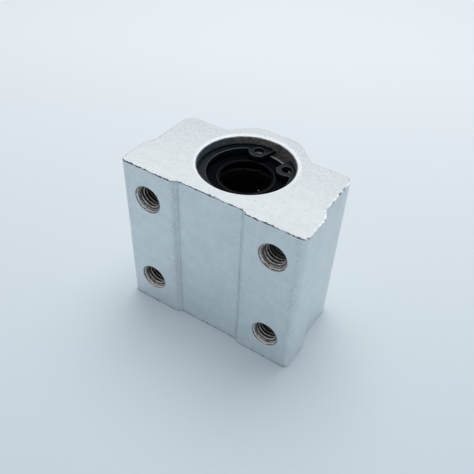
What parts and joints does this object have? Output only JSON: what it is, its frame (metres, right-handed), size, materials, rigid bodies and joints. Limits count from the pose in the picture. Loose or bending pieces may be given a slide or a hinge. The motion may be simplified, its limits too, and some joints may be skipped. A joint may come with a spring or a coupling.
{
  "type": "linear bearing block",
  "caption": "Extruded aluminium block with a linear ball bearing held between circlips, bolted down on its flat face to run along a round shaft.",
  "frame": {"origin": "middle of the bearing, on the shaft's axis at half the block's length", "axes": "+Z along the shaft, out of the end that is seen; +X across the block; -Y out of the mounting face. The block stands on its cut end at -Z."},
  "size_m": [0.04, 0.0253, 0.035],
  "materials": {
    "block_aluminium": "bead-blasted and clear anodised",
    "bearing_steel": "ground",
    "cage_plastic": "moulded",
    "ball_steel": "polished",
    "seal_rubber": "smooth",
    "circlip_steel": "phosphated and oiled",
    "ring_steel": "stamped"
  },
  "bodies": {
    "root": {"housing_block": "block_aluminium", "bearing_sleeve": "bearing_steel", "ball_cage": "cage_plastic", "loaded_balls_1": "ball_steel", "return_balls_1": "ball_steel", "loaded_balls_2": "ball_steel", "return_balls_2": "ball_steel", "loaded_balls_3": "ball_steel", "return_balls_3": "ball_steel", "loaded_balls_4": "ball_steel", "return_balls_4": "ball_steel", "side_ring_upper": "ring_steel", "end_seal_upper": "seal_rubber", "circlip_upper": "circlip_steel", "side_ring_lower": "ring_steel", "end_seal_lower": "seal_rubber", "circlip_lower": "circlip_steel"}
  },
  "joints": []
}
